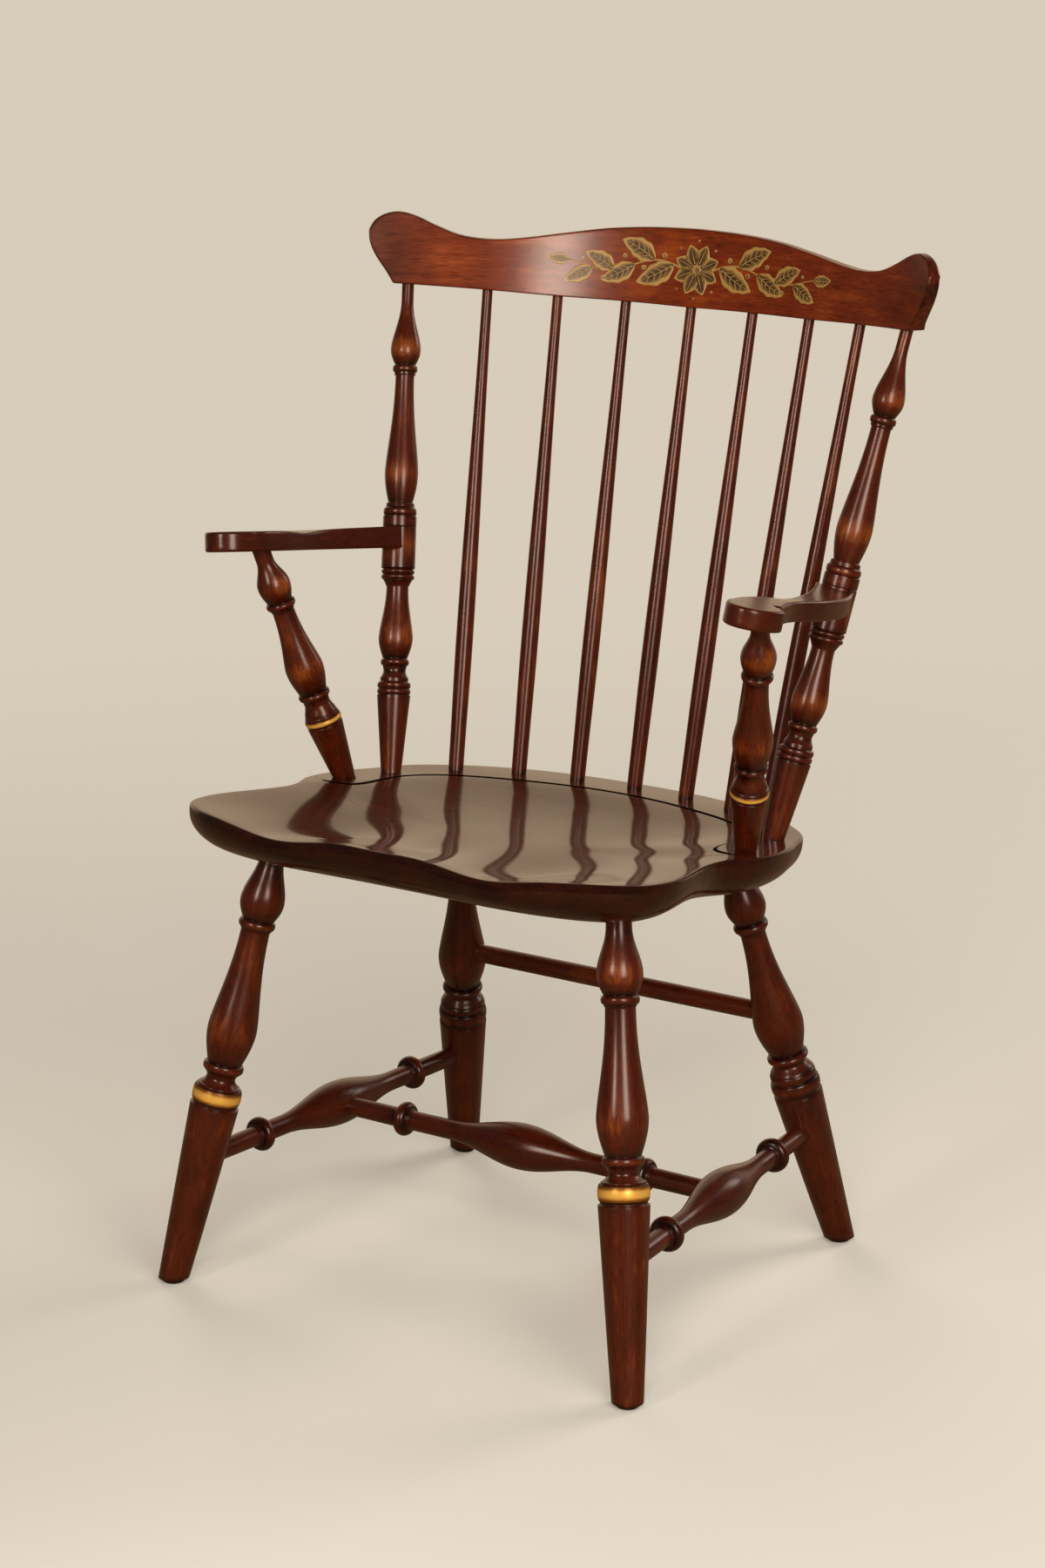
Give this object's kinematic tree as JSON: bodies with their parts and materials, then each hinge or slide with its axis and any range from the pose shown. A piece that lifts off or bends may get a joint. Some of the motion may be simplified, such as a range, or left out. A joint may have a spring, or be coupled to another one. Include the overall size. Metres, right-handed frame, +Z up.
{
  "type": "windsor armchair",
  "caption": "Fan-back windsor armchair in dark stained wood: saddled plank seat, turned splayed legs with stretchers, tapered spindles, serpentine crest rail and flat tilted arms.",
  "frame": {"origin": "on the floor under the middle of the chair's bounding box", "axes": "+X to the right as one faces the chair, -Y to the front, +Z up"},
  "size_m": [0.593, 0.5149, 0.9139],
  "materials": {
    "stained_hardwood": "dark cherry stain under gloss lacquer",
    "stained_seat_plank": "dark cherry stain under high gloss lacquer",
    "stained_crest": "red-brown stain under satin lacquer, painted decoration",
    "stained_arm": "dark cherry stain under gloss lacquer",
    "dark_glide": "dark lacquer",
    "zinc_screw": "zinc plated"
  },
  "bodies": {
    "root": {"arm_left": "stained_arm", "arm_plug_left": "stained_hardwood", "arm_plug_right": "stained_hardwood", "arm_post_left": "stained_hardwood", "arm_post_right": "stained_hardwood", "arm_right": "stained_arm", "arm_screw_left": "zinc_screw", "arm_screw_right": "zinc_screw", "back_post_left": "stained_hardwood", "back_post_right": "stained_hardwood", "crest_rail": "stained_crest", "glide_front_left": "dark_glide", "glide_front_right": "dark_glide", "glide_rear_left": "dark_glide", "glide_rear_right": "dark_glide", "leg_front_left": "stained_hardwood", "leg_front_right": "stained_hardwood", "leg_rear_left": "stained_hardwood", "leg_rear_right": "stained_hardwood", "medial_stretcher": "stained_hardwood", "rear_stretcher": "stained_hardwood", "seat": "stained_seat_plank", "side_stretcher_left": "stained_hardwood", "side_stretcher_right": "stained_hardwood", "spindle_1": "stained_hardwood", "spindle_2": "stained_hardwood", "spindle_3": "stained_hardwood", "spindle_4": "stained_hardwood", "spindle_5": "stained_hardwood", "spindle_6": "stained_hardwood", "spindle_7": "stained_hardwood"}
  },
  "joints": []
}
